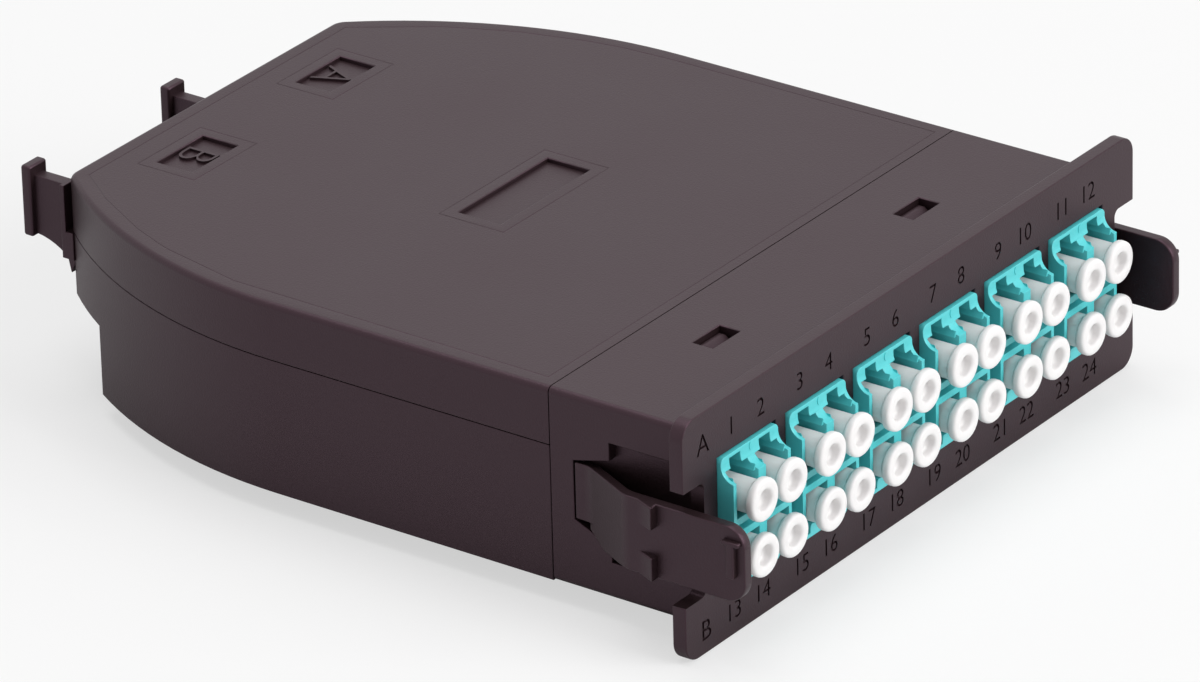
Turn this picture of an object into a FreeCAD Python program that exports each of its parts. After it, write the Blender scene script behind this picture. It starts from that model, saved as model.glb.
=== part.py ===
import FreeCAD, Part
import math
import os
import re

import Sketcher

# Fibre cassette: a front frame that snaps into a panel, six quad adapters with a dust
# cap in each port, and a tapered rear housing of a base and a cover that holds two
# multi-fibre adapters. X runs along the ports, Y from front to rear, Z up.
# Places along Y are measured from the plate's front face, and places along Z from its
# lower edge. Every length is in millimetres.
SIZES = [
    ("plate_thickness", 2.0, "front plate"),
    ("plate_corner", 2.6, "radius of the plate's outer corners"),
    ("plate_above", 3.35, "plate above the body"),
    ("plate_beside", 5.25, "plate beside the body, at each end"),
    ("notch_gap", 1.5, "latch arm at rest to the notch's inner edge"),
    ("notch_below", 2.15, "notch below the latch arm"),
    ("notch_above", 3.25, "notch above the latch arm"),
    ("notch_corner", 1.0, "radius of the notch's inner corners"),
    ("body_bottom", 2.75, "height of the body's underside above the plate's lower edge"),
    ("wall", 2.0, "walls, floor and roof"),
    ("head_room", 0.3, "between the upper hooks and the roof"),
    ("edge_round", 0.8, "radius of the body's long edges"),
    ("frame_end", 23.75, "rear end of the front frame"),
    ("frame_side_wall", 2.05, "side walls of the front frame"),
    ("joint_gap", 0.15, "between the front frame and the rear housing"),
    ("seam_gap", 0.05, "between base and cover"),
    ("taper_length", 45.0, "length of the housing's curved sides"),
    ("taper_radius", 70.0, "curve of the housing's sides"),
    ("rear_corner", 2.5, "radius of the housing's rear corners"),
    ("housing_end", 112.0, "rear face of the housing"),
    ("step_depth", 9.0, "overhang of the base behind its step"),
    ("adapter_spacing", 2.4, "between one quad adapter and the next"),
    ("adapter_proud", 2.3, "adapter's face ahead of the plate"),
    ("adapter_inset", 0.25, "adapter's rear end ahead of the frame's"),
    ("lip_proud", 0.45, "adapter's upper and lower lips ahead of the plate"),
    ("lip_height", 1.0, "upper and lower lips of the adapter"),
    ("scoop_radius", 2.0, "hollow curve from the adapter's face to its lips"),
    ("shoulder_height", 0.9, "adapter's shoulders above and below it"),
    ("shoulder_width", 8.0, "adapter's shoulders, across"),
    ("shoulder_thickness", 1.3, "adapter's shoulders, front to rear"),
    ("slide_gap", 0.1, "around what passes through an opening"),
    ("seat_gap", 0.05, "between a part and the face that it seats on"),
    ("port_pitch", 6.25, "from port to port in a row"),
    ("row_pitch", 7.6, "from row to row"),
    ("port_width", 4.65, "port, across"),
    ("port_side_wall", 0.65, "adapter's wall beside a port"),
    ("port_end_wall", 0.55, "adapter's wall beyond a latch slot"),
    ("port_foot", 0.075, "port beyond a round of its own width, away from the latch"),
    ("port_head", 1.325, "port beyond a round of its own width, towards the latch"),
    ("port_rail_proud", 0.37, "rail on each side wall of a front port"),
    ("port_rail_start", 2.3, "such a rail's lower edge above the port's centre"),
    ("port_rail_height", 0.8, "such a rail, upright"),
    ("port_rail_inset", 0.5, "such a rail behind the adapter's face"),
    ("latch_slot_width", 2.3, "slot for a plug's latch"),
    ("latch_slot_height", 1.35, "slot for a plug's latch, beyond the port"),
    ("front_port_depth", 10.5, "ports in the adapter's face"),
    ("rear_port_depth", 9.0, "ports in the adapter's rear end"),
    ("row_slot_wall", 0.8, "adapter's wall beside the slot between the rows"),
    ("row_slot_height", 0.9, "slot between the rows"),
    ("row_slot_depth", 3.0, "slot between the rows"),
    ("hook_width", 6.0, "hooks that hold an adapter, across"),
    ("hook_thickness", 0.85, "finger of such a hook"),
    ("hook_bite", 0.6, "how far such a hook grips the shoulder"),
    ("hook_length", 1.6, "barb of such a hook, front to rear"),
    ("hook_flat", 0.2, "blunt top of the barb, front to rear"),
    ("cap_proud", 5.0, "dust cap's face ahead of the plate"),
    ("cap_length", 9.0, "dust cap, front to rear"),
    ("cap_rim_gap", 0.55, "between the rims of two dust caps"),
    ("cap_rim_thickness", 0.8, "dust cap's rim"),
    ("cap_barrel_gap", 0.125, "around the dust cap's barrel in its port"),
    ("cap_dimple_radius", 1.25, "hollow in the dust cap's face"),
    ("cap_dimple_depth", 3.0, "hollow in the dust cap's face"),
    ("window_spacing", 44.0, "between the two snap windows"),
    ("window_width", 5.8, "snap window, across"),
    ("window_start", 13.1, "snap window's front edge"),
    ("window_length", 3.1, "snap window, front to rear"),
    ("tongue_width", 5.2, "snap tongue, across"),
    ("tongue_thickness", 1.2, "snap tongue"),
    ("tongue_gap", 0.15, "snap tongue to the wall beside it"),
    ("tongue_root", 4.2, "snap tongue's block inside the housing"),
    ("tongue_hook", 1.3, "snap tongue's hook above the tongue"),
    ("tongue_flat", 1.0, "blunt top of the tongue's hook, front to rear"),
    ("arm_root_inset", 3.55, "hinge line of a latch arm ahead of the frame's end"),
    ("arm_root_gap", 0.05, "latch arm's end to its hinge line"),
    ("arm_root_slant", 0.3, "how far the arm's end leans from the frame"),
    ("arm_reach", 8.0, "latch arm's tip ahead of the plate"),
    ("arm_spread", 3.85, "latch arm outside the body's side"),
    ("arm_thickness", 1.5, "latch arm"),
    ("arm_root_thickness", 0.95, "latch arm at its hinge"),
    ("arm_bottom", 10.0, "height of the latch arm's lower edge"),
    ("arm_top", 20.2, "height of the latch arm's upper edge"),
    ("arm_root_bottom", 12.4, "height of the arm's lower edge at its hinge"),
    ("arm_root_length", 2.2, "narrow root of the arm, front to rear"),
    ("arm_root_step", 0.9, "step down from the narrow root to the arm's lower edge"),
    ("arm_flush_length", 2.2, "arm from its hinge to where it leaves the body's side"),
    ("arm_bend_length", 8.0, "arm from there to where it runs straight again"),
    ("arm_bend_round", 4.0, "radius of the arm's bends"),
    ("arm_tip_round", 2.8, "radius of the arm's tip"),
    ("catch_start", 5.1, "catch's step, which grips the panel"),
    ("catch_length", 2.9, "catch's ramp"),
    ("catch_proud", 1.2, "catch outside the arm"),
    ("catch_height", 3.2, "catch, upright"),
    ("grip_centre", 6.2, "grip rib ahead of the plate"),
    ("grip_thickness", 1.2, "grip rib, front to rear"),
    ("grip_proud", 0.75, "grip rib outside the arm"),
    ("grip_bottom", 13.5, "height of the grip rib's lower end"),
    ("grip_height", 4.4, "grip rib, upright"),
    ("grip_ledge_length", 2.6, "ledge on top of the grip rib, front to rear"),
    ("grip_ledge_height", 0.6, "ledge on top of the grip rib"),
    ("pocket_depth", 1.35, "pocket beside a latch arm"),
    ("pocket_gap", 0.15, "around the latch arm's root"),
    ("pocket_bottom", 7.8, "height of the pocket's lower edge"),
    ("pocket_top", 24.2, "height of the pocket's upper edge"),
    ("pocket_neck", 5.4, "narrow end of the pocket, ahead of the hinge line"),
    ("pocket_flare", 1.4, "rise of the pocket's narrow end towards its step"),
    ("trunk_spacing", 29.4, "between the two multi-fibre adapters"),
    ("trunk_length", 24.0, "multi-fibre adapter, front to rear"),
    ("trunk_width", 12.7, "multi-fibre adapter, across"),
    ("trunk_height", 9.2, "multi-fibre adapter, upright"),
    ("trunk_proud", 1.0, "multi-fibre adapter behind the housing"),
    ("trunk_above", 1.35, "between the multi-fibre adapter and the roof"),
    ("trunk_below", 2.3, "between the multi-fibre adapter and the step's floor"),
    ("flange_reach", 2.15, "its flange beyond each side"),
    ("flange_thickness", 1.6, "its flange, front to rear"),
    ("rib_width", 2.2, "ribs that hold the flange, across"),
    ("rib_thickness", 1.6, "ribs that hold the flange, front to rear"),
    ("trunk_side_wall", 1.55, "multi-fibre adapter beside its port"),
    ("trunk_end_wall", 1.3, "multi-fibre adapter above and below its port"),
    ("trunk_port_depth", 10.0, "multi-fibre port"),
    ("trunk_key_width", 3.0, "keyway of the multi-fibre port"),
    ("trunk_key_height", 0.7, "keyway of the multi-fibre port"),
    ("trunk_waist_width", 6.0, "opening between its two ports, across"),
    ("trunk_waist_height", 3.3, "opening between its two ports, upright"),
    ("trunk_cap_inset", 0.5, "trunk cap's head inside the adapter's outline"),
    ("trunk_cap_plug", 6.0, "trunk cap's plug in its port"),
    ("trunk_cap_thickness", 1.2, "trunk cap's head"),
    ("trunk_grip_width", 8.0, "trunk cap's grip, across"),
    ("trunk_grip_height", 3.0, "trunk cap's grip, upright"),
    ("trunk_grip_length", 2.3, "trunk cap's grip, front to rear"),
    ("post_left", -28.0, "left tie post"),
    ("post_right", 1.0, "right tie post"),
    ("post_reach", 7.0, "tie post behind the housing"),
    ("post_thickness", 1.9, "tie post's stem, across"),
    ("post_drop", 1.45, "stem's upper edge below the cover's top"),
    ("post_depth", 3.9, "stem's lower edge at the wall, below the seam"),
    ("post_neck", 1.8, "stem's lower edge at the head, below the seam"),
    ("post_curve", 9.0, "radius of the stem's lower edge"),
    ("post_rib_height", 2.2, "thin rib on the wall below the stem"),
    ("post_rib_thickness", 0.5, "thin rib on the wall, front to rear"),
    ("post_head_width", 3.6, "tie post's head, across"),
    ("post_head_height", 10.0, "tie post's head, upright"),
    ("post_head_thickness", 1.6, "tie post's head, front to rear"),
    ("post_head_drop", 0.05, "tie post's head below the cover's top"),
    ("post_pad_width", 3.0, "thicker root of the stem, across"),
    ("post_pad_thickness", 0.9, "thicker root of the stem, front to rear"),
    ("label_width", 19.3, "recess for a label, across"),
    ("label_length", 6.65, "recess for a label, front to rear"),
    ("label_centre", -0.8, "recess for a label, along X"),
    ("label_start", 56.3, "front edge of the label's recess"),
    ("letter_width", 9.65, "recess for a port's letter, across"),
    ("letter_length", 5.7, "recess for a port's letter, front to rear"),
    ("letter_inset", 7.4, "recess for a port's letter ahead of the housing's end"),
    ("recess_depth", 0.6, "recesses in the cover"),
]
ALIASES = {alias for alias, _, _ in SIZES}
ADAPTERS = 6
PORTS_PER_ROW = 12

# What is worked out from the sizes, written as expressions of them.
PORT_BELOW = "(port_width / 2 + port_foot)"
PORT_ABOVE = "(port_width / 2 + port_head)"
LATCH_REACH = f"({PORT_ABOVE} + latch_slot_height)"
ADAPTER_WIDTH = "(port_pitch + port_width + 2 * port_side_wall)"
ADAPTER_HALF = f"(row_pitch / 2 + {LATCH_REACH} + port_end_wall)"
ADAPTER_PITCH = f"({ADAPTER_WIDTH} + adapter_spacing)"
ADAPTER_END = "(frame_end - adapter_inset)"
HOOK_REACH = f"({ADAPTER_HALF} + shoulder_height + slide_gap)"
BODY_HALF = (f"({(ADAPTERS - 1) / 2} * {ADAPTER_PITCH} + {ADAPTER_WIDTH} / 2"
             " + slide_gap + frame_side_wall)")
FLOOR = "(body_bottom + wall)"
ADAPTER_LEVEL = f"({FLOOR} + hook_thickness + {HOOK_REACH})"
ROOF = f"({ADAPTER_LEVEL} + {HOOK_REACH} + hook_thickness + head_room)"
BODY_TOP = f"({ROOF} + wall)"
PLATE_HALF = f"({BODY_HALF} + plate_beside)"
PLATE_TOP = f"({BODY_TOP} + plate_above)"
HOUSING_START = "(frame_end + joint_gap)"
TAPER_START = "(housing_end - taper_length)"
STEP_START = "(housing_end - step_depth)"
SEAM = f"({ROOF} - trunk_above - trunk_height / 2)"
BASE_TOP = f"({SEAM} - seam_gap)"
STEP_FLOOR = f"({SEAM} - trunk_height / 2 - trunk_below)"
STEP_HEIGHT = f"({STEP_FLOOR} - wall)"
SHOULDER_FRONT = "(plate_thickness + seat_gap)"
HOOK_FRONT = f"({SHOULDER_FRONT} + shoulder_thickness + seat_gap)"
TRUNK_END = "(housing_end + trunk_proud)"
TRUNK_START = f"({TRUNK_END} - trunk_length)"
TRUNK_PORT_WIDTH = "(trunk_width - 2 * trunk_side_wall)"
TRUNK_PORT_HALF = "(trunk_height / 2 - trunk_end_wall)"
FLANGE_END = "(housing_end - wall - seat_gap)"
RIB_END = f"({FLANGE_END} - flange_thickness - seat_gap)"
ARM_ROOT = "(frame_end - arm_root_inset)"
ARM_BEND_ROOT = f"({ARM_ROOT} - arm_flush_length)"
ARM_BEND_END = f"({ARM_BEND_ROOT} - arm_bend_length)"
ARM_OUTSIDE = f"({BODY_HALF} + arm_spread)"
POCKET_STEP = f"({ARM_ROOT} - pocket_neck)"
ROOT_START = f"({ARM_ROOT} - arm_root_length)"
POST_TOP = f"({BODY_TOP} - post_drop)"
STRAIGHT_MIDDLE = f"({HOUSING_START} + {TAPER_START}) / 2"
CENTRE_SHIFT = "(arm_reach - housing_end - post_reach) / 2"

doc = FreeCAD.newDocument("FibreCassette")
sheet = doc.addObject("Spreadsheet::Sheet", "Sizes")
PARTS = []


def fill_sheet():
    """Write each size into the sheet as an alias, its value and what it measures."""
    for row, (alias, size, note) in enumerate(SIZES, start=1):
        sheet.set(f"A{row}", alias)
        sheet.set(f"B{row}", str(size))
        sheet.set(f"C{row}", note)
        sheet.setAlias(f"B{row}", alias)
    doc.recompute()


def spell(expression):
    """Point each size named in an expression at its cell."""
    def cell(word):
        return f"Sizes.{word[0]}" if word[0] in ALIASES else word[0]
    return re.sub(r"[a-z]\w*", cell, str(expression))


def number(expression):
    """The present value of an expression of the sizes."""
    return float(sheet.evalExpression(spell(expression)))


def bind(item, name, expression):
    """Tie a property of an object to an expression of the sizes."""
    item.setExpression(name, spell(expression))


def new_part(label, across="0", up="0"):
    """A body for one piece, its own X and Z measured from the place given."""
    body = doc.addObject("PartDesign::Body", label)
    body.Label = label
    bind(body, "Placement.Base.x", across)
    bind(body, "Placement.Base.y", CENTRE_SHIFT)
    bind(body, "Placement.Base.z", up)
    PARTS.append(body)
    return body


def plane_sign(plane):
    """The XZ plane faces forward, against the Y axis; the other two face along theirs."""
    return -1 if plane.Role == "XZ_Plane" else 1


def sketch_on(body, role, label, offset="0"):
    """A sketch on one of the body's origin planes, moved along its axis to the offset."""
    plane = next(item for item in body.Origin.OriginFeatures if item.Role == role)
    sketch = body.newObject("Sketcher::SketchObject", label)
    sketch.AttachmentSupport = [(plane, "")]
    sketch.MapMode = "FlatFace"
    bind(sketch, "AttachmentOffset.Base.z", f"{plane_sign(plane)} * ({offset})")
    return sketch


def arc_to(here, there, radius):
    """An arc between two corners: a positive radius turns left, a negative one right."""
    chord = there - here
    left = FreeCAD.Vector(-chord.y, chord.x, 0).normalize()
    rise = math.sqrt(radius ** 2 - (chord.Length / 2) ** 2)
    centre = (here + there) / 2 + left * math.copysign(rise, radius)
    circle = Part.Circle(centre, FreeCAD.Vector(0, 0, 1), abs(radius))
    start, end = (here, there) if radius > 0 else (there, here)
    return Part.ArcOfCircle(circle, circle.parameter(start), circle.parameter(end))


def outline(sketch, corners):
    """Close a loop through corners, each (x, y) or (x, y, radius of the arc to the next)."""
    points = [FreeCAD.Vector(number(corner[0]), number(corner[1]), 0) for corner in corners]
    first = sketch.GeometryCount
    edges, ends = [], []
    for index, corner in enumerate(corners):
        here, there = points[index], points[(index + 1) % len(points)]
        if len(corner) == 3:
            radius = number(corner[2])
            edges.append(arc_to(here, there, radius))
            ends.append((1, 2) if radius > 0 else (2, 1))
        else:
            edges.append(Part.LineSegment(here, there))
            ends.append((1, 2))
    sketch.addGeometry(edges, False)
    rules = []
    for index, corner in enumerate(corners):
        edge, start = first + index, ends[index][0]
        previous = first + (index - 1) % len(corners)
        joined = Sketcher.Constraint("Coincident", previous, ends[index - 1][1], edge, start)
        rules.append((joined, None))
        for kind, place, size in (("DistanceX", corner[0], points[index].x),
                                  ("DistanceY", corner[1], points[index].y)):
            rules.append((Sketcher.Constraint(kind, -1, 1, edge, start, size), place))
        if len(corner) == 3:
            radius = abs(number(corner[2]))
            rules.append((Sketcher.Constraint("Radius", edge, radius), f"abs({corner[2]})"))
    offset = sketch.ConstraintCount
    sketch.addConstraint([rule for rule, _ in rules])
    for index, (_, expression) in enumerate(rules):
        if expression is not None:
            bind(sketch, f"Constraints[{offset + index}]", expression)


def rectangle(sketch, centre, width, bottom, top):
    """A rectangle with its middle and width along the sketch's X, and two edges across."""
    left, right = f"{centre} - {width} / 2", f"{centre} + {width} / 2"
    outline(sketch, [(left, bottom), (right, bottom), (right, top), (left, top)])


def extrusion(kind, sketch, length, way, both_sides):
    """A pad or pocket of the sketch, up (1) or down (-1) the axis or to both sides."""
    body = sketch.getParentGeoFeatureGroup()
    feature = body.newObject(f"PartDesign::{kind}", f"{sketch.Label}_{kind.lower()}")
    feature.Profile = sketch
    bind(feature, "Length", length)
    natural = plane_sign(sketch.AttachmentSupport[0][0]) * (1 if kind == "Pad" else -1)
    feature.Reversed = natural != way
    if both_sides:
        feature.SideType = "Symmetric"
    doc.recompute()
    return feature


def pad(sketch, length, way=1, both_sides=False):
    """Material added along the sketch's axis."""
    return extrusion("Pad", sketch, length, way, both_sides)


def pocket(sketch, length, way=1, both_sides=False):
    """Material cut along the sketch's axis; a cut that misses the piece is refused."""
    body = sketch.getParentGeoFeatureGroup()
    before = body.Tip.Shape.Volume
    feature = extrusion("Pocket", sketch, length, way, both_sides)
    if feature.Shape.Volume >= before:
        raise RuntimeError(f"{feature.Label} cuts nothing")
    return feature


def rounded(body, label, radius, spots):
    """Round the edges whose middles lie nearest the spots."""
    base = body.Tip
    names = []
    for spot in spots:
        place = FreeCAD.Vector(*[number(value) for value in spot])
        gaps = [(edge.valueAt((edge.FirstParameter + edge.LastParameter) / 2) - place).Length
                for edge in base.Shape.Edges]
        names.append(f"Edge{gaps.index(min(gaps)) + 1}")
    feature = body.newObject("PartDesign::Fillet", label)
    feature.Base = (base, names)
    bind(feature, "Radius", radius)
    doc.recompute()
    return feature


def mirrored(body, label, features):
    """The same features on the other side of the body's YZ plane."""
    feature = body.newObject("PartDesign::Mirrored", label)
    plane = next(item for item in body.Origin.OriginFeatures if item.Role == "YZ_Plane")
    feature.Originals = features
    feature.MirrorPlane = (plane, [""])
    body.Tip = feature
    doc.recompute()
    return feature


def along_row(body, label, features):
    """The same features at each adapter's place along X."""
    feature = body.newObject("PartDesign::LinearPattern", label)
    axis = next(item for item in body.Origin.OriginFeatures if item.Role == "X_Axis")
    feature.Originals = features
    feature.Direction = (axis, [""])
    bind(feature, "Length", f"{ADAPTERS - 1} * {ADAPTER_PITCH}")
    feature.Occurrences = ADAPTERS
    body.Tip = feature
    doc.recompute()
    return feature


def adapter_place(index):
    """Where the adapter of an index stands along X."""
    return f"({index - (ADAPTERS - 1) / 2} * {ADAPTER_PITCH})"


def front_frame():
    """Front plate and the open box behind it, with cut-outs, hooks, windows and pockets."""
    body = new_part("front_frame")
    plate = sketch_on(body, "XZ_Plane", "plate")
    rectangle(plate, "0", f"2 * {PLATE_HALF}", "0", PLATE_TOP)
    pad(plate, "plate_thickness")
    rounded(body, "plate_corners", "plate_corner",
            [(f"{side}{PLATE_HALF}", "plate_thickness / 2", height)
             for side in ("-", "") for height in ("0", PLATE_TOP)])
    plate_notches(body)
    box = sketch_on(body, "XZ_Plane", "box", "plate_thickness")
    rectangle(box, "0", f"2 * {BODY_HALF}", "body_bottom", BODY_TOP)
    pad(box, "frame_end - plate_thickness")
    rounded(body, "box_edges", "edge_round",
            [(f"{side}{BODY_HALF}", "(plate_thickness + frame_end) / 2", height)
             for side in ("-", "") for height in ("body_bottom", BODY_TOP)])
    cavity = sketch_on(body, "XZ_Plane", "cavity", "frame_end")
    rectangle(cavity, "0", f"2 * ({BODY_HALF} - frame_side_wall)", FLOOR, ROOF)
    pocket(cavity, "frame_end - plate_thickness", way=-1)
    windows = sketch_on(body, "XY_Plane", "windows")
    for side in ("-", ""):
        rectangle(windows, f"{side}window_spacing / 2", "window_width",
                  "window_start", "window_start + window_length")
    pocket(windows, PLATE_TOP, way=1)
    side_pockets(body)
    adapter_seats(body)


def plate_notches(body):
    """A notch in each end of the plate, with rounded inner corners."""
    inner = f"({ARM_OUTSIDE} - arm_thickness - notch_gap)"
    bottom, top = "arm_bottom - notch_below", "arm_top + notch_above"
    notch = sketch_on(body, "XZ_Plane", "notch")
    outline(notch, [(inner, bottom), (PLATE_HALF, bottom), (PLATE_HALF, top), (inner, top)])
    cut = pocket(notch, "plate_thickness")
    mirrored(body, "notches", [cut])
    rounded(body, "notch_corners", "notch_corner",
            [(f"{side}{inner}", "plate_thickness / 2", height)
             for side in ("-", "") for height in (bottom, top)])


def side_pockets(body):
    """A shallow pocket in each side of the frame, around the root of the latch arm."""
    root_end = f"{ARM_ROOT} + pocket_gap"
    root_top, root_bottom = "arm_top + pocket_gap", "arm_root_bottom - pocket_gap"
    side = sketch_on(body, "YZ_Plane", "side_pocket", BODY_HALF)
    outline(side, [
        ("plate_thickness", "pocket_bottom"), (POCKET_STEP, "pocket_bottom"),
        (POCKET_STEP, "arm_bottom - pocket_gap"), (root_end, root_bottom),
        (root_end, root_top), (POCKET_STEP, f"{root_top} + pocket_flare"),
        (POCKET_STEP, "pocket_top"), ("plate_thickness", "pocket_top")])
    cut = pocket(side, "pocket_depth", way=-1)
    mirrored(body, "side_pockets", [cut])


def adapter_seats(body):
    """Six cut-outs in the plate, each with an upper and a lower hook behind it."""
    first = adapter_place(0)
    opening = sketch_on(body, "XZ_Plane", "cut_out")
    rectangle(opening, first, f"({ADAPTER_WIDTH} + 2 * slide_gap)",
              f"{ADAPTER_LEVEL} - {ADAPTER_HALF} - slide_gap",
              f"{ADAPTER_LEVEL} + {ADAPTER_HALF} + slide_gap")
    cut = pocket(opening, "plate_thickness")
    hooks = sketch_on(body, "YZ_Plane", "hooks", first)
    grip = f"{ADAPTER_HALF} + shoulder_height - hook_bite"
    barb_end = f"{HOOK_FRONT} + hook_length"
    for side in ("+", "-"):
        def level(reach):
            return f"{ADAPTER_LEVEL} {side} ({reach})"
        outline(hooks, [
            ("plate_thickness", level(HOOK_REACH)), (HOOK_FRONT, level(HOOK_REACH)),
            (HOOK_FRONT, level(grip)), (f"{HOOK_FRONT} + hook_flat", level(grip)),
            (barb_end, level(HOOK_REACH)),
            (barb_end, level(f"{HOOK_REACH} + hook_thickness")),
            ("plate_thickness", level(f"{HOOK_REACH} + hook_thickness"))])
    fingers = pad(hooks, "hook_width", both_sides=True)
    along_row(body, "seats", [cut, fingers])


def latch_arm(label, side):
    """A springy arm with two catches and a grip, hinged where it leaves the frame."""
    body = new_part(label)

    def across(place):
        return f"{side} * ({place})"
    tip, root = "-arm_reach", f"{ARM_ROOT} - arm_root_gap"
    inner_tip = f"{ARM_OUTSIDE} - arm_thickness"
    inner_root = f"{BODY_HALF} - arm_root_thickness"
    inner_bend = f"{ARM_BEND_ROOT} - arm_root_thickness + seat_gap"
    plan = sketch_on(body, "XY_Plane", "plan", "arm_bottom")
    outline(plan, [
        (across(ARM_OUTSIDE), tip), (across(ARM_OUTSIDE), ARM_BEND_END),
        (across(BODY_HALF), ARM_BEND_ROOT), (across(BODY_HALF), root),
        (across(inner_root), f"{root} - arm_root_slant"), (across(inner_root), inner_bend),
        (across(inner_tip), ARM_BEND_END), (across(inner_tip), tip)])
    pad(plan, "arm_top - arm_bottom")
    relief = sketch_on(body, "YZ_Plane", "relief")
    outline(relief, [(POCKET_STEP, "arm_bottom"), (ARM_ROOT, "arm_bottom"),
                     (ARM_ROOT, "arm_root_bottom"), (ROOT_START, "arm_root_bottom"),
                     (ROOT_START, "arm_root_bottom - arm_root_step")])
    pocket(relief, f"4 * {PLATE_HALF}", both_sides=True)
    middle = "(arm_top + arm_bottom) / 2"
    rounded(body, "bends", "arm_bend_round",
            [(across(ARM_OUTSIDE), ARM_BEND_END, middle),
             (across(inner_tip), ARM_BEND_END, middle),
             (across(BODY_HALF), ARM_BEND_ROOT, middle)])
    tip_middle = across(f"{ARM_OUTSIDE} - arm_thickness / 2")
    rounded(body, "tip", "arm_tip_round",
            [(tip_middle, tip, "arm_bottom"), (tip_middle, tip, "arm_top")])
    catches(body, across)
    grip_rib(body, across)


def catches(body, across):
    """Two wedges on the arm's outside, one at its upper and one at its lower edge."""
    for name, bottom in (("lower_catch", "arm_bottom"), ("upper_catch", "arm_top - catch_height")):
        wedge = sketch_on(body, "XY_Plane", name, bottom)
        outline(wedge, [(across(ARM_OUTSIDE), "catch_start"),
                        (across(f"{ARM_OUTSIDE} + catch_proud"), "catch_start"),
                        (across(ARM_OUTSIDE), "catch_start + catch_length")])
        pad(wedge, "catch_height")


def grip_rib(body, across):
    """A short upright rib near the arm's tip, with a ledge on top."""
    for name, bottom, height, length in (
            ("grip", "grip_bottom", "grip_height", "grip_thickness"),
            ("ledge", "grip_bottom + grip_height", "grip_ledge_height", "grip_ledge_length")):
        rib = sketch_on(body, "XY_Plane", name, bottom)
        front, rear = f"-grip_centre - {length} / 2", f"-grip_centre + {length} / 2"
        outline(rib, [(across(ARM_OUTSIDE), front),
                      (across(f"{ARM_OUTSIDE} + grip_proud"), front),
                      (across(f"{ARM_OUTSIDE} + grip_proud"), rear),
                      (across(ARM_OUTSIDE), rear)])
        pad(rib, height)


def housing_outline(inset, front):
    """Plan of the rear housing, drawn in by the inset from its outer face."""
    half = f"({BODY_HALF} - {inset})"
    bow_x = f"({BODY_HALF} - taper_radius)"
    corner_y = "(housing_end - rear_corner)"
    corner_x = (f"({bow_x} + sqrt((taper_radius - rear_corner)^2"
                f" - ({corner_y} - {TAPER_START})^2))")
    share = f"((taper_radius - {inset}) / (taper_radius - rear_corner))"
    meet_x = f"({bow_x} + ({corner_x} - {bow_x}) * {share})"
    meet_y = f"({TAPER_START} + ({corner_y} - {TAPER_START}) * {share})"
    bow, bend = f"taper_radius - {inset}", f"rear_corner - {inset}"
    rear = f"housing_end - {inset}"
    return [(f"-{half}", front), (half, front), (half, TAPER_START, bow),
            (meet_x, meet_y, bend), (corner_x, rear), (f"-{corner_x}", rear, bend),
            (f"-{meet_x}", meet_y, bow), (f"-{half}", TAPER_START)]


def lower_outline(inset, front):
    """Plan of the base below its step: the same sides, cut off at the step's face."""
    half = f"({BODY_HALF} - {inset})"
    rear = f"({STEP_START} - {inset})"
    bow = f"taper_radius - {inset}"
    rear_x = (f"({BODY_HALF} - taper_radius"
              f" + sqrt((taper_radius - {inset})^2 - ({rear} - {TAPER_START})^2))")
    return [(f"-{half}", front), (half, front), (half, TAPER_START, bow),
            (rear_x, rear), (f"-{rear_x}", rear, bow), (f"-{half}", TAPER_START)]


def rear_base():
    """Lower part of the rear housing: a tray with a stepped rear end and two tie posts."""
    body = new_part("rear_base")
    lower = sketch_on(body, "XY_Plane", "lower_tray", "body_bottom")
    outline(lower, lower_outline("0", HOUSING_START))
    pad(lower, f"{STEP_HEIGHT} - body_bottom")
    rounded(body, "bottom_edge", "edge_round", [(BODY_HALF, STRAIGHT_MIDDLE, "body_bottom")])
    upper = sketch_on(body, "XY_Plane", "upper_tray", STEP_HEIGHT)
    outline(upper, housing_outline("0", HOUSING_START))
    pad(upper, f"{BASE_TOP} - {STEP_HEIGHT}")
    inside = sketch_on(body, "XY_Plane", "upper_inside", BASE_TOP)
    outline(inside, housing_outline("wall", "frame_end - wall"))
    pocket(inside, f"{BASE_TOP} - {STEP_FLOOR}", way=-1)
    deep = sketch_on(body, "XY_Plane", "lower_inside", STEP_FLOOR)
    outline(deep, lower_outline("wall", "frame_end - wall"))
    pocket(deep, f"{STEP_FLOOR} - {FLOOR}", way=-1)
    trunk_seats(body, BASE_TOP, STEP_FLOOR, way=-1)
    snap_tongues(body, FLOOR, way=-1)
    tie_posts(body)


def rear_cover():
    """Upper part of the rear housing: a shallow lid with recesses for labels."""
    body = new_part("rear_cover")
    lid = sketch_on(body, "XY_Plane", "lid", SEAM)
    outline(lid, housing_outline("0", HOUSING_START))
    pad(lid, f"{BODY_TOP} - {SEAM}")
    rounded(body, "top_edge", "edge_round", [(BODY_HALF, STRAIGHT_MIDDLE, BODY_TOP)])
    inside = sketch_on(body, "XY_Plane", "inside", SEAM)
    outline(inside, housing_outline("wall", "frame_end - wall"))
    pocket(inside, f"{ROOF} - {SEAM}", way=1)
    recesses = sketch_on(body, "XY_Plane", "recesses", BODY_TOP)
    rectangle(recesses, "label_centre", "label_width", "label_start",
              "label_start + label_length")
    for side in ("-", ""):
        rectangle(recesses, f"{side}trunk_spacing / 2", "letter_width",
                  "housing_end - letter_inset - letter_length", "housing_end - letter_inset")
    pocket(recesses, "recess_depth", way=-1)
    trunk_seats(body, SEAM, ROOF, way=1)
    snap_tongues(body, ROOF, way=1)


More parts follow.
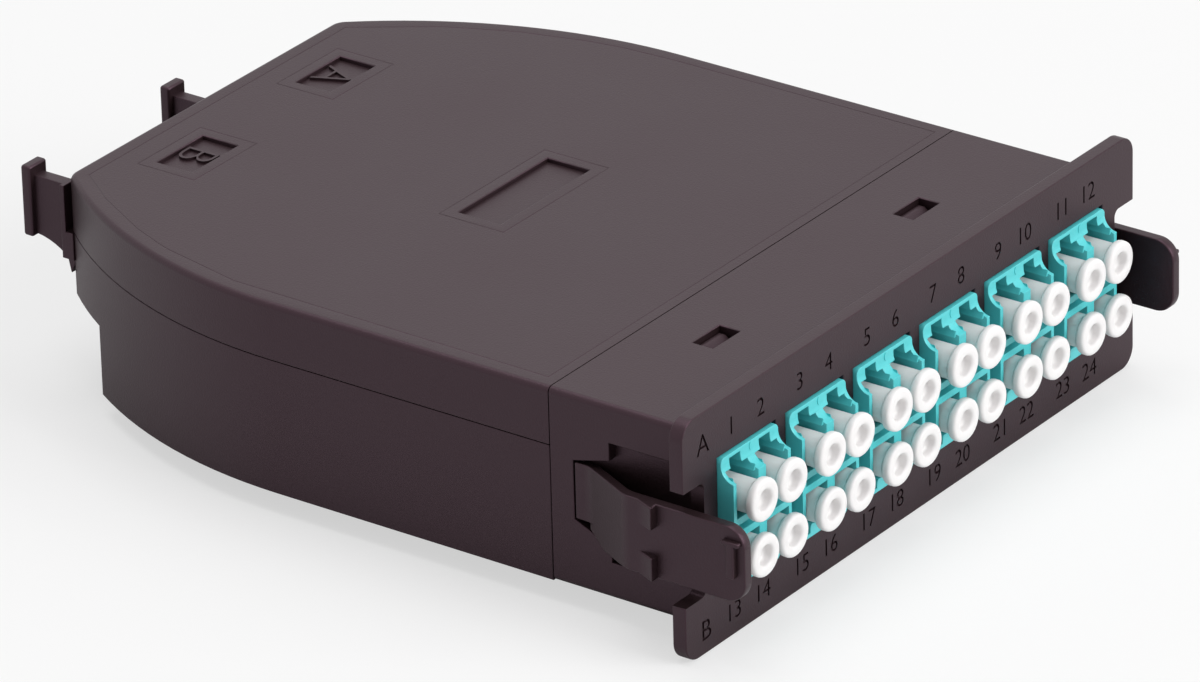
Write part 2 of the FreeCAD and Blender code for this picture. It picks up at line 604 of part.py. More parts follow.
def trunk_seats(body, split, floor, way):
    """Half of each multi-fibre adapter's opening, and ribs that trap its flange."""
    edge = f"{SEAM} + {way} * (trunk_height / 2 + slide_gap)"
    opening = sketch_on(body, "XZ_Plane", "openings", "housing_end")
    for side in ("-", ""):
        rectangle(opening, f"{side}trunk_spacing / 2", "(trunk_width + 2 * slide_gap)",
                  *((edge, split) if way < 0 else (split, edge)))
    pocket(opening, "wall", way=-1)
    ribs = sketch_on(body, "XZ_Plane", "ribs", RIB_END)
    offset = "(trunk_width / 2 + slide_gap + rib_width / 2)"
    for centre in ("-trunk_spacing / 2", "trunk_spacing / 2"):
        for side in ("-", "+"):
            rectangle(ribs, f"{centre} {side} {offset}", "rib_width",
                      *((floor, split) if way < 0 else (split, floor)))
    pad(ribs, "rib_thickness", way=-1)


def snap_tongues(body, face, way):
    """Two tongues that reach into the front frame and hook into its windows."""
    near = f"{face} - {way} * tongue_gap"
    far = f"{near} - {way} * tongue_thickness"
    hook = f"{near} + {way} * tongue_hook"
    front, catch = "window_start + slide_gap", "window_start + window_length - slide_gap"
    block = f"{HOUSING_START} + tongue_root"
    for name, side in (("left_tongue", "-"), ("right_tongue", "")):
        tongue = sketch_on(body, "YZ_Plane", name, f"{side}window_spacing / 2")
        outline(tongue, [
            (front, far), (block, far), (block, face), (HOUSING_START, face),
            (HOUSING_START, near), (catch, near), (catch, hook),
            (f"{catch} - tongue_flat", hook), (front, near)])
        pad(tongue, "tongue_width", both_sides=True)


def tie_posts(body):
    """Two T-shaped posts behind the housing, for tying down a cable."""
    stem_end = "housing_end + post_reach - post_head_thickness"
    anchor, low = "housing_end - wall / 2", f"{SEAM} - post_depth"
    clear = "housing_end + joint_gap"
    rib_face = "housing_end + post_rib_thickness"
    for name, place in (("left_post", "post_left"), ("right_post", "post_right")):
        stem = sketch_on(body, "YZ_Plane", f"{name}_stem", place)
        outline(stem, [
            (anchor, low), ("housing_end", f"{low} - post_rib_height"),
            (rib_face, low, "-post_curve"),
            (stem_end, f"{SEAM} - post_neck"), (stem_end, POST_TOP), (clear, POST_TOP),
            (clear, BASE_TOP), (anchor, BASE_TOP)])
        pad(stem, "post_thickness", both_sides=True)
        root = sketch_on(body, "YZ_Plane", f"{name}_root", place)
        outline(root, [
            (anchor, low), ("housing_end + post_pad_thickness", low),
            ("housing_end + post_pad_thickness", POST_TOP), (clear, POST_TOP),
            (clear, BASE_TOP), (anchor, BASE_TOP)])
        pad(root, "post_pad_width", both_sides=True)
        head = sketch_on(body, "XY_Plane", f"{name}_head",
                         f"{BODY_TOP} - post_head_drop - post_head_height")
        rectangle(head, place, "post_head_width", stem_end, "housing_end + post_reach")
        pad(head, "post_head_height")


def port_outline(sketch, place, level, way, half_width, below, above, slot_half, reach):
    """A port with the narrow slot for the plug's latch or key on one side."""
    def height(size):
        return f"{level} + {way} * ({size})"
    left, right = f"{place} - {half_width}", f"{place} + {half_width}"
    slot_left, slot_right = f"{place} - {slot_half}", f"{place} + {slot_half}"
    outline(sketch, [
        (left, height(f"-{below}")), (right, height(f"-{below}")),
        (right, height(above)), (slot_right, height(above)),
        (slot_right, height(reach)), (slot_left, height(reach)),
        (slot_left, height(above)), (left, height(above))])


def lc_adapter(index):
    """A quad adapter: scooped face, shoulders, and four latched ports at each end."""
    body = new_part(f"lc_adapter_{index + 1}", adapter_place(index), ADAPTER_LEVEL)
    half = ADAPTER_HALF
    lip = f"({half} - lip_height)"
    face = f"({lip} - scoop_radius)"
    side = sketch_on(body, "YZ_Plane", "side")
    outline(side, [
        ("-lip_proud", f"-{half}"), (ADAPTER_END, f"-{half}"), (ADAPTER_END, half),
        ("-lip_proud", half), ("-lip_proud", lip, "-scoop_radius"),
        ("-adapter_proud", face), ("-adapter_proud", f"-{face}", "-scoop_radius"),
        ("-lip_proud", f"-{lip}")])
    pad(side, ADAPTER_WIDTH, both_sides=True)
    shoulder = sketch_on(body, "XZ_Plane", "shoulders", SHOULDER_FRONT)
    rectangle(shoulder, "0", "shoulder_width", f"-({half} + shoulder_height)",
              f"{half} + shoulder_height")
    pad(shoulder, "shoulder_thickness")
    adapter_ports(body, "front_ports", "-adapter_proud", "front_port_depth", way=1)
    adapter_ports(body, "rear_ports", ADAPTER_END, "rear_port_depth", way=-1)
    port_rails(body)
    slot = sketch_on(body, "XZ_Plane", "row_slot", "-adapter_proud")
    rectangle(slot, "0", f"({ADAPTER_WIDTH} - 2 * row_slot_wall)",
              "-row_slot_height / 2", "row_slot_height / 2")
    pocket(slot, "row_slot_depth")


def port_places():
    """Centre of each port in its adapter, and which way its latch slot points."""
    return [(f"{side} * port_pitch / 2", f"{way} * row_pitch / 2", way)
            for way in (1, -1) for side in (-1, 1)]


def adapter_ports(body, label, face, depth, way):
    """Four ports cut into one end of the adapter."""
    ports = sketch_on(body, "XZ_Plane", label, face)
    for place, level, up in port_places():
        port_outline(ports, place, level, up, "port_width / 2", PORT_BELOW, PORT_ABOVE,
                     "latch_slot_width / 2", LATCH_REACH)
    pocket(ports, depth, way=way)


def port_rails(body):
    """A rail with a sloped back along both side walls of each front port."""
    rails = sketch_on(body, "XZ_Plane", "rails", "port_rail_inset - adapter_proud")
    wall, edge = "port_width / 2 + seat_gap", "port_width / 2 - port_rail_proud"
    for place, level, up in port_places():
        for side in ("-", "+"):
            outline(rails, [
                (f"{place} {side} ({wall})", f"{level} + {up} * port_rail_start"),
                (f"{place} {side} ({edge})", f"{level} + {up} * port_rail_start"),
                (f"{place} {side} ({wall})",
                 f"{level} + {up} * (port_rail_start + port_rail_height)")])
    pad(rails, "front_port_depth - port_rail_inset")


def dust_cap(number_on_plate):
    """A turned plug with a rim and a hollow in its face; 1 to 12 stand above 13 to 24."""
    row, column = divmod(number_on_plate - 1, PORTS_PER_ROW)
    adapter, port = divmod(column, 2)
    across = f"{adapter_place(adapter)} + {2 * port - 1} * port_pitch / 2"
    up = f"{ADAPTER_LEVEL} + {1 - 2 * row} * row_pitch / 2"
    body = new_part(f"dust_cap_{number_on_plate:02d}", across, up)
    rim, barrel = "(port_pitch - cap_rim_gap) / 2", "port_width / 2 - cap_barrel_gap"
    face, end = "-cap_proud", "cap_length - cap_proud"
    section = sketch_on(body, "XY_Plane", "section")
    outline(section, [
        ("0", f"{face} + cap_dimple_depth"),
        ("cap_dimple_radius", f"{face} + cap_dimple_depth"), ("cap_dimple_radius", face),
        (rim, face), (rim, f"{face} + cap_rim_thickness"),
        (barrel, f"{face} + cap_rim_thickness"), (barrel, end), ("0", end)])
    turned = body.newObject("PartDesign::Revolution", "turned")
    turned.Profile = section
    turned.ReferenceAxis = (section, ["V_Axis"])
    turned.Angle = 360
    doc.recompute()


def mpo_adapter(letter, side):
    """A multi-fibre adapter across the seam, with a flange and a keyed port at each end."""
    body = new_part(f"mpo_adapter_{letter}", f"{side} * trunk_spacing / 2", SEAM)
    barrel = sketch_on(body, "XZ_Plane", "barrel", TRUNK_START)
    rectangle(barrel, "0", "trunk_width", "-trunk_height / 2", "trunk_height / 2")
    pad(barrel, "trunk_length")
    flange = sketch_on(body, "XZ_Plane", "flange", FLANGE_END)
    rectangle(flange, "0", "(trunk_width + 2 * flange_reach)",
              "-trunk_height / 2", "trunk_height / 2")
    pad(flange, "flange_thickness", way=-1)
    for name, face, way in (("inner_port", TRUNK_START, 1), ("outer_port", TRUNK_END, -1)):
        port = sketch_on(body, "XZ_Plane", name, face)
        port_outline(port, "0", "0", 1, f"{TRUNK_PORT_WIDTH} / 2", TRUNK_PORT_HALF,
                     TRUNK_PORT_HALF, "trunk_key_width / 2",
                     f"{TRUNK_PORT_HALF} + trunk_key_height")
        pocket(port, "trunk_port_depth", way=way)
    waist = sketch_on(body, "XZ_Plane", "waist", TRUNK_START)
    rectangle(waist, "0", "trunk_waist_width",
              "-trunk_waist_height / 2", "trunk_waist_height / 2")
    pocket(waist, "trunk_length")


def mpo_dust_cap(letter, side):
    """The cap of a multi-fibre port: a plug, a head against the adapter, and a grip."""
    body = new_part(f"mpo_dust_cap_{letter}", f"{side} * trunk_spacing / 2", SEAM)
    face = f"{TRUNK_END} + seat_gap"
    head_end = f"{face} + trunk_cap_thickness"
    plug = sketch_on(body, "XZ_Plane", "plug", face)
    rectangle(plug, "0", f"({TRUNK_PORT_WIDTH} - 2 * slide_gap)",
              f"slide_gap - {TRUNK_PORT_HALF}", f"{TRUNK_PORT_HALF} - slide_gap")
    pad(plug, "trunk_cap_plug", way=-1)
    head = sketch_on(body, "XZ_Plane", "head", face)
    half = "(trunk_height / 2 - trunk_cap_inset)"
    rectangle(head, "0", "(trunk_width - 2 * trunk_cap_inset)", f"-{half}", half)
    pad(head, "trunk_cap_thickness")
    grip = sketch_on(body, "XZ_Plane", "grip", head_end)
    rectangle(grip, "0", "trunk_grip_width", "-trunk_grip_height / 2", "trunk_grip_height / 2")
    pad(grip, "trunk_grip_length")


def write_parts():
    """Check every object and piece, then write each piece to a file of its own."""
    doc.recompute()
    faults = [item.Label for item in doc.Objects
              if "Invalid" in item.State or "Error" in item.State]
    faults += [body.Label for body in PARTS
               if body.Shape.isNull() or not body.Shape.isValid() or len(body.Shape.Solids) != 1]
    if faults:
        raise RuntimeError(f"failed: {faults}")
    os.makedirs("parts", exist_ok=True)
    for body in PARTS:
        body.Shape.exportStep(os.path.join("parts", f"{body.Label}.step"))


fill_sheet()
front_frame()
latch_arm("left_latch_arm", -1)
latch_arm("right_latch_arm", 1)
rear_base()
rear_cover()
for adapter_index in range(ADAPTERS):
    lc_adapter(adapter_index)
for port_number in range(1, 2 * PORTS_PER_ROW + 1):
    dust_cap(port_number)
for port_letter, port_side in (("a", 1), ("b", -1)):
    mpo_adapter(port_letter, port_side)
    mpo_dust_cap(port_letter, port_side)
write_parts()
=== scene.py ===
from math import cos, pi, radians, sin

import bmesh
import bpy
from mathutils import Matrix, Vector


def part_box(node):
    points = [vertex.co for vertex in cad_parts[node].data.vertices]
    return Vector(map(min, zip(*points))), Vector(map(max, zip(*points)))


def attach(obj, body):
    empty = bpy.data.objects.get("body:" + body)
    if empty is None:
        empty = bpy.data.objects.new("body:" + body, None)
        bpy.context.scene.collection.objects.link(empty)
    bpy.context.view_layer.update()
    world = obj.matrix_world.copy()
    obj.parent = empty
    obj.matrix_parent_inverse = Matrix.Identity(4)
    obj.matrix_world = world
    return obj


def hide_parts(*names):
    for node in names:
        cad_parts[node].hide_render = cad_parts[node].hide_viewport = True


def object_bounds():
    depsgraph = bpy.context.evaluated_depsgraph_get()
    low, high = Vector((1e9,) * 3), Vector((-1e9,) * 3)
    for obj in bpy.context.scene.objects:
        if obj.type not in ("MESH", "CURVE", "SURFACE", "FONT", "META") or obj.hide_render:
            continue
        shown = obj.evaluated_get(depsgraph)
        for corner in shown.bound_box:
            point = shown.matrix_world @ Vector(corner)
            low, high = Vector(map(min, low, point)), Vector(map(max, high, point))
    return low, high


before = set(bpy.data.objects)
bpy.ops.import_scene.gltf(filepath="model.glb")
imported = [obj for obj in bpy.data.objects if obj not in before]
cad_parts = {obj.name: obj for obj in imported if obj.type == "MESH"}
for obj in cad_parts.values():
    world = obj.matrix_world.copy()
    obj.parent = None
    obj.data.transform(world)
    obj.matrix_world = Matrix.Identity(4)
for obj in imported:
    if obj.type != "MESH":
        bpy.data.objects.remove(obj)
cad_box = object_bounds()

# Front frame. One moulding of black plastic: the plate that shows in the rack, and the open box
# behind it. The ports are numbered by fine marks sunk in the plate, and the arrises are soft
# where the mould was eased.
MM = 0.001
FRAME_EDGE = 0.16 * MM
EASED_ANGLE = radians(35)
SHARP_ANGLE = radians(50)
FLAT_ANGLE = radians(0.4)
MERGE_DISTANCE = 0.001 * MM
BLACK_PLASTIC = (0.0085, 0.0045, 0.0046, 1)
BLACK_PLASTIC_PALE = (0.0150, 0.0085, 0.0086, 1)
BLACK_SHEEN = (1.0, 0.62, 0.82, 1)
MARK_HEIGHT = 2.4 * MM
LETTER_HEIGHT = 2.7 * MM
MARK_THINNING = 0.004
MARK_MERGE = 0.002
MARK_DEPTH = 0.3 * MM
MARK_CURVE_STEPS = 3
TOP_MARKS_DROP = 4.2 * MM
LOW_MARKS_RISE = 3.3 * MM
ROW_LETTER_STEP = 6.0 * MM
ARRIS_STEPS = 2
BLACK_ROUGHNESS = 0.42
BLACK_GRAIN_SIZE = 0.25 * MM
BLACK_GRAIN_DEPTH = 0.05 * MM
GLOSS_DRIFT = 0.015
DRIFTS_PER_METRE = 45
DRIFT_LOW, DRIFT_HIGH = 0.3, 0.7
GRAIN_SHARE = 0.5
GRAIN_STRENGTH = 0.6


def node_between(tree, kind, place, **settings):
    """A shader node of a kind, with its own settings."""
    made = tree.nodes.new(kind)
    made.location = place
    for name, setting in settings.items():
        setattr(made, name, setting)
    return made


def plastic(name, deep, pale, roughness, grain_size, grain_depth, tint=(1, 1, 1, 1)):
    """Moulded plastic: a fine spark-eroded grain, and a slow drift in colour and gloss."""
    material = bpy.data.materials.new(name)
    material.use_nodes = True
    tree = material.node_tree
    shader = tree.nodes["Principled BSDF"]
    shader.inputs["Specular Tint"].default_value = tint
    place = node_between(tree, "ShaderNodeTexCoord", (-1100, 0))
    grain = node_between(tree, "ShaderNodeTexNoise", (-880, -250))
    grain.inputs["Scale"].default_value = 1 / grain_size
    grain.inputs["Detail"].default_value = 3
    drift = node_between(tree, "ShaderNodeTexNoise", (-880, 150))
    drift.inputs["Scale"].default_value = DRIFTS_PER_METRE
    drift.inputs["Detail"].default_value = 2
    speckle = node_between(tree, "ShaderNodeMix", (-660, 100), data_type="FLOAT")
    speckle.inputs["Factor"].default_value = GRAIN_SHARE
    colour = node_between(tree, "ShaderNodeMix", (-440, 200), data_type="RGBA")
    colour.inputs["A"].default_value = deep
    colour.inputs["B"].default_value = pale
    gloss = node_between(tree, "ShaderNodeMapRange", (-440, -60))
    gloss.inputs["From Min"].default_value = DRIFT_LOW
    gloss.inputs["From Max"].default_value = DRIFT_HIGH
    gloss.inputs["To Min"].default_value = roughness - GLOSS_DRIFT
    gloss.inputs["To Max"].default_value = roughness + GLOSS_DRIFT
    bump = node_between(tree, "ShaderNodeBump", (-440, -300))
    bump.inputs["Strength"].default_value = GRAIN_STRENGTH
    bump.inputs["Distance"].default_value = grain_depth
    for source, target in ((place.outputs["Object"], grain.inputs["Vector"]),
                           (place.outputs["Object"], drift.inputs["Vector"]),
                           (grain.outputs["Fac"], speckle.inputs["A"]),
                           (drift.outputs["Fac"], speckle.inputs["B"]),
                           (speckle.outputs["Result"], colour.inputs["Factor"]),
                           (colour.outputs["Result"], shader.inputs["Base Color"]),
                           (drift.outputs["Fac"], gloss.inputs["Value"]),
                           (gloss.outputs["Result"], shader.inputs["Roughness"]),
                           (grain.outputs["Fac"], bump.inputs["Height"]),
                           (bump.outputs["Normal"], shader.inputs["Normal"])):
        tree.links.new(source, target)
    return material


def show(mesh, name, material, body):
    """Put a finished mesh in the scene as one piece that moves with a body."""
    mesh.materials.clear()
    mesh.materials.append(material)
    piece = bpy.data.objects.new(name, mesh)
    bpy.context.scene.collection.objects.link(piece)
    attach(piece, body)
    return piece


def mark_sharp(shape):
    """Keep the shading of a bmesh apart across its sharp edges."""
    for face in shape.faces:
        face.smooth = True
    for edge in shape.edges:
        edge.smooth = not edge.is_manifold or edge.calc_face_angle() < SHARP_ANGLE


def has_room(edge, radius):
    """Whether every edge that meets this one is long enough to be rounded off with it."""
    return all(other.calc_length() > radius for vert in edge.verts for other in vert.link_edges)


def softened(shape, radius, chosen=has_room):
    """Round off those sharp outer edges of a bmesh that are chosen."""
    arrises = [edge for edge in shape.edges if edge.is_manifold and edge.is_convex
               and edge.calc_face_angle() > EASED_ANGLE and chosen(edge, radius)]
    bmesh.ops.bevel(shape, geom=arrises, offset=radius, segments=ARRIS_STEPS, profile=0.5,
                    affect="EDGES", clamp_overlap=False, material=-1)
    bmesh.ops.dissolve_degenerate(shape, dist=MERGE_DISTANCE, edges=shape.edges)


def eased(node, radius, before=None, after=None):
    """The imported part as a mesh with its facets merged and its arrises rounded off."""
    shape = bmesh.new()
    shape.from_mesh(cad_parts[node].data)
    bmesh.ops.remove_doubles(shape, verts=shape.verts, dist=MERGE_DISTANCE)
    bmesh.ops.dissolve_limit(shape, angle_limit=FLAT_ANGLE, verts=shape.verts,
                             edges=shape.edges, delimit={"NORMAL"})
    if before:
        before(shape)
    softened(shape, radius)
    if after:
        after(shape)
    mark_sharp(shape)
    mesh = bpy.data.meshes.new(node + "_moulding")
    shape.to_mesh(mesh)
    shape.free()
    return mesh


def moulded(mesh, node, material, body):
    """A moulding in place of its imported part, with flat faces shaded flat."""
    piece = show(mesh, node + "_moulding", material, body)
    weighted = piece.modifiers.new("flat faces", "WEIGHTED_NORMAL")
    weighted.weight = 100
    weighted.keep_sharp = True
    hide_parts(node)


def mark(text, height, depth, thinning):
    """A bmesh of one mark, centred on its surface and as deep to either side of it."""
    curve = bpy.data.curves.new("mark", "FONT")
    curve.body = text
    curve.extrude = 0.5
    curve.resolution_u = MARK_CURVE_STEPS
    curve.offset = -thinning
    sample = bpy.data.objects.new("mark", curve)
    bpy.context.scene.collection.objects.link(sample)
    bpy.context.view_layer.update()
    mesh = bpy.data.meshes.new_from_object(sample.evaluated_get(
        bpy.context.evaluated_depsgraph_get()))
    bpy.data.objects.remove(sample)
    shape = bmesh.new()
    shape.from_mesh(mesh)
    bmesh.ops.remove_doubles(shape, verts=shape.verts, dist=MARK_MERGE)
    low = Vector([min(v.co[i] for v in shape.verts) for i in range(3)])
    high = Vector([max(v.co[i] for v in shape.verts) for i in range(3)])
    size = height / (high.y - low.y)
    bmesh.ops.translate(shape, verts=shape.verts, vec=-(low + high) / 2)
    bmesh.ops.scale(shape, verts=shape.verts, vec=(size, size, 2 * depth))
    return shape


def marks_on(facing, marks, thinning):
    """One mesh of marks: each a text, a height, a depth and its middle on the surface."""
    whole = bpy.data.meshes.new("marks")
    gathered = bmesh.new()
    for text, height, depth, middle in marks:
        shape = mark(text, height, depth, thinning)
        bmesh.ops.transform(shape, verts=shape.verts,
                            matrix=Matrix.Translation(middle) @ facing.to_4x4())
        shape.to_mesh(whole)
        gathered.from_mesh(whole)
        shape.free()
    bmesh.ops.recalc_face_normals(gathered, faces=gathered.faces)
    mark_sharp(gathered)
    gathered.to_mesh(whole)
    gathered.free()
    return whole


def engraved(mesh, marks):
    """The mesh with marks sunk into it."""
    whole = bpy.data.objects.new("whole", mesh)
    tool = bpy.data.objects.new("tool", marks)
    for part in (whole, tool):
        bpy.context.scene.collection.objects.link(part)
    cut = whole.modifiers.new("marks", "BOOLEAN")
    cut.operation = "DIFFERENCE"
    cut.solver = "EXACT"
    cut.use_self = True
    cut.object = tool
    bpy.context.view_layer.update()
    shape = bmesh.new()
    shape.from_mesh(whole.evaluated_get(bpy.context.evaluated_depsgraph_get()).data)
    bmesh.ops.remove_doubles(shape, verts=shape.verts, dist=MERGE_DISTANCE)
    bmesh.ops.dissolve_degenerate(shape, dist=MERGE_DISTANCE, edges=shape.edges)
    mark_sharp(shape)
    shape.to_mesh(mesh)
    shape.free()
    for part in (whole, tool):
        bpy.data.objects.remove(part)
    return mesh


housing_black = plastic("moulded black", BLACK_PLASTIC, BLACK_PLASTIC_PALE,
                        BLACK_ROUGHNESS, BLACK_GRAIN_SIZE, BLACK_GRAIN_DEPTH, BLACK_SHEEN)
plate_low, plate_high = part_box("front_frame")
port_marks = []
for port in range(1, 25):
    cap_low, cap_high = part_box(f"dust_cap_{port:02d}")
    level = plate_high.z - TOP_MARKS_DROP if port <= 12 else plate_low.z + LOW_MARKS_RISE
    middle = Vector(((cap_low.x + cap_high.x) / 2, plate_low.y, level))
    port_marks.append((str(port), MARK_HEIGHT, MARK_DEPTH, middle))
    if port in (1, 13):
        row = middle - Vector((ROW_LETTER_STEP, 0, 0))
        port_marks.append(("A" if port == 1 else "B", LETTER_HEIGHT, MARK_DEPTH, row))
facing_forward = Matrix(((1, 0, 0), (0, 0, -1), (0, 1, 0)))
frame_mesh = engraved(eased("front_frame", FRAME_EDGE),
                      marks_on(facing_forward, port_marks, MARK_THINNING))
moulded(frame_mesh, "front_frame", housing_black, "cassette")

# Latch arms. Springy arms of the same black plastic, moulded with the frame and bent out from
# its sides; each has two wedge catches for the panel and a ribbed grip at its tip.
ARM_EDGE = 0.2 * MM
for side in ("left", "right"):
    moulded(eased(f"{side}_latch_arm", ARM_EDGE), f"{side}_latch_arm", housing_black,
            f"{side}_latch")

# Adapters. Six quad adapters of aqua plastic, pressed into the plate from the front until their
# shoulders click behind it. The face is scooped above and below so a finger can reach the plugs.
ADAPTER_EDGE = 0.07 * MM
AQUA = (0.085, 0.570, 0.600, 1)
AQUA_PALE = (0.105, 0.630, 0.660, 1)
AQUA_ROUGHNESS = 0.34
AQUA_GRAIN_SIZE = 0.4 * MM
AQUA_GRAIN_DEPTH = 0.008 * MM
NOTCH_MARK_HEIGHT = 1.1 * MM
NOTCH_MARK_RELIEF = 0.1 * MM
NOTCH_MARK_DROP = 1.6 * MM
LIP_PROUD = 0.45 * MM
ADAPTER_CORNER = 0.9 * MM
CORNER_CUTS = [radians(angle) for angle in (22.5, 45, 67.5)]


def round_corners(shape):
    """Round the four long corners of an adapter by planing them off in steps."""
    body = [vert.co for vert in shape.verts if vert.co.y < plate_low.y]
    low = Vector([min(co[i] for co in body) for i in range(3)])
    high = Vector([max(co[i] for co in body) for i in range(3)])
    for x, across in ((low.x + ADAPTER_CORNER, -1), (high.x - ADAPTER_CORNER, 1)):
        for z, upward in ((low.z + ADAPTER_CORNER, -1), (high.z - ADAPTER_CORNER, 1)):
            for angle in CORNER_CUTS:
                outward = Vector((across * cos(angle), 0, upward * sin(angle)))
                cut = bmesh.ops.bisect_plane(
                    shape, geom=shape.verts[:] + shape.edges[:] + shape.faces[:],
                    plane_co=Vector((x, 0, z)) + outward * ADAPTER_CORNER,
                    plane_no=outward, clear_outer=True)
                rim = [part for part in cut["geom_cut"] if isinstance(part, bmesh.types.BMEdge)]
                bmesh.ops.holes_fill(shape, edges=rim, sides=0)
    bmesh.ops.recalc_face_normals(shape, faces=shape.faces)


adapter_aqua = plastic("aqua adapter plastic", AQUA, AQUA_PALE,
                       AQUA_ROUGHNESS, AQUA_GRAIN_SIZE, AQUA_GRAIN_DEPTH)
lip_marks = []
for place in range(1, 7):
    node = f"lc_adapter_{place}"
    low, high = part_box(node)
    middle = (low + high) / 2
    moulded(eased(node, ADAPTER_EDGE, round_corners), node, adapter_aqua, "cassette")
    on_lip = Vector((middle.x, plate_low.y - LIP_PROUD, high.z - NOTCH_MARK_DROP))
    lip_marks.append(("(", NOTCH_MARK_HEIGHT, NOTCH_MARK_RELIEF, on_lip))
show(marks_on(facing_forward, lip_marks, 0), "lc_adapter_marks", adapter_aqua, "cassette")

# Dust caps. Soft white plugs, one in each port, moulded as a barrel with a thick rim and a
# round hollow in the face. They are held by nothing but their squeeze in the port.
CAP_WHITE = (0.78, 0.765, 0.765, 1)
CAP_WHITE_WARM = (0.81, 0.795, 0.79, 1)
CAP_RIM = 1.3 * MM
CAP_BARREL_SHARE = 2.2 / 2.85
CAP_HOLLOW_SHARE = 1.38 / 2.85
CAP_HOLLOW_DEPTH = 1.4 * MM
CAP_ROUND = 0.42 * MM
CAP_STEPS = 40
CAP_ROUND_STEPS = 3
CAP_MERGE = 0.01 * MM
CAP_CORNER_ANGLE = radians(40)
CAP_SHARP_ANGLE = radians(35)
CAP_ROUGHNESS = 0.40
CAP_GRAIN_SIZE = 0.5 * MM
CAP_GRAIN_DEPTH = 0.004 * MM
CAP_GLOW = 0.25
CAP_GLOW_REACH = 0.6 * MM


def turned_cap(low, high):
    """A cap turned about its own axis, from its face to the end of its barrel."""
    middle = (low + high) / 2
    rim = (high.x - low.x) / 2
    barrel, hollow = rim * CAP_BARREL_SHARE, rim * CAP_HOLLOW_SHARE
    profile = [(0, low.y + CAP_HOLLOW_DEPTH), (hollow, low.y + CAP_HOLLOW_DEPTH),
               (hollow, low.y), (rim, low.y), (rim, low.y + CAP_RIM),
               (barrel, low.y + CAP_RIM), (barrel, high.y), (0, high.y)]
    shape = bmesh.new()
    points = [shape.verts.new((middle.x + radius, along, middle.z)) for radius, along in profile]
    lines = [shape.edges.new(pair) for pair in zip(points, points[1:])]
    bmesh.ops.spin(shape, geom=points + lines, cent=middle, axis=(0, 1, 0), angle=2 * pi,
                   steps=CAP_STEPS, use_merge=True)
    bmesh.ops.remove_doubles(shape, verts=shape.verts, dist=CAP_MERGE)
    bmesh.ops.recalc_face_normals(shape, faces=shape.faces)
    sharp = [edge for edge in shape.edges
             if edge.is_manifold and edge.calc_face_angle() > CAP_CORNER_ANGLE]
    bmesh.ops.bevel(shape, geom=sharp, offset=CAP_ROUND, segments=CAP_ROUND_STEPS, profile=0.5,
                    affect="EDGES", material=-1)
    return shape


cap_white = plastic("white cap plastic", CAP_WHITE, CAP_WHITE_WARM,
                    CAP_ROUGHNESS, CAP_GRAIN_SIZE, CAP_GRAIN_DEPTH)
cap_shader = cap_white.node_tree.nodes["Principled BSDF"]
cap_shader.inputs["Subsurface Weight"].default_value = CAP_GLOW
cap_shader.inputs["Subsurface Scale"].default_value = CAP_GLOW_REACH
cap_shader.inputs["Subsurface Radius"].default_value = (1, 1, 1)
for port in range(1, 25):
    shape = turned_cap(*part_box(f"dust_cap_{port:02d}"))
    mesh = bpy.data.meshes.new(f"dust_cap_{port:02d}_turned")
    shape.to_mesh(mesh)
    shape.free()
    mesh.shade_smooth()
    mesh.set_sharp_from_angle(angle=CAP_SHARP_ANGLE)
    cap = show(mesh, f"dust_cap_{port:02d}_turned", cap_white, f"cap_{port:02d}")
    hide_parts(f"dust_cap_{port:02d}")

# Rear base. A tray of the black plastic that hooks into the front frame with two tongues. Its
# rear end is stepped for the trunk plugs, and carries two T-shaped posts for a cable tie.
BASE_EDGE = 0.12 * MM
POST_EDGE = 0.35 * MM
POST_HEAD = 2.0 * MM
base_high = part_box("rear_base")[1]


def on_post_head(edge, radius):
    """Whether an edge is one of a post's head, and long enough to be rounded off."""
    return (has_room(edge, radius)
            and min(vert.co.y for vert in edge.verts) > base_high.y - POST_HEAD)


def soften_posts(shape):
    """Round the heads of the two posts more than the rest."""
    softened(shape, POST_EDGE, on_post_head)


moulded(eased("rear_base", BASE_EDGE, soften_posts), "rear_base", housing_black, "cassette")

# Trunk adapters. Two black multi-fibre adapters, dropped into the base so that ribs trap their
# flanges, and closed in by the cover.
TRUNK_EDGE = 0.12 * MM
TRUNK_BLACK = (0.012, 0.011, 0.012, 1)
TRUNK_BLACK_PALE = (0.020, 0.018, 0.019, 1)
TRUNK_ROUGHNESS = 0.36
TRUNK_GRAIN_SIZE = 0.4 * MM
TRUNK_GRAIN_DEPTH = 0.006 * MM
trunk_black = plastic("black adapter plastic", TRUNK_BLACK, TRUNK_BLACK_PALE,
                      TRUNK_ROUGHNESS, TRUNK_GRAIN_SIZE, TRUNK_GRAIN_DEPTH)
for letter in "ab":
    moulded(eased(f"mpo_adapter_{letter}", TRUNK_EDGE), f"mpo_adapter_{letter}", trunk_black,
            "cassette")

# Rear cover. A shallow lid of the black plastic, snapped down on the base. A fine line runs
# round its top and each recess, where the mould's plates met; one recess takes a label, and
# two hold a raised letter for a trunk.
COVER_EDGE = 0.16 * MM
LINE_INSET = 1.5 * MM
LINE_HALF = 0.09 * MM
LINE_DEPTH = 0.06 * MM
LINE_MERGE = 0.2 * MM
TOP_PANEL_AREA = 1000 * MM ** 2
TRUNK_LETTER_HEIGHT = 4.9 * MM
TRUNK_LETTER_RELIEF = 0.35 * MM
TRUNK_LETTER_THINNING = 0.02
TRUNK_LETTER_FROM_REAR = 10.2 * MM
TRUNK_LETTER_FROM_MIDDLE = 14.7 * MM
TRUNK_RECESS_DEPTH = 0.6 * MM
cover_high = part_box("rear_cover")[1]


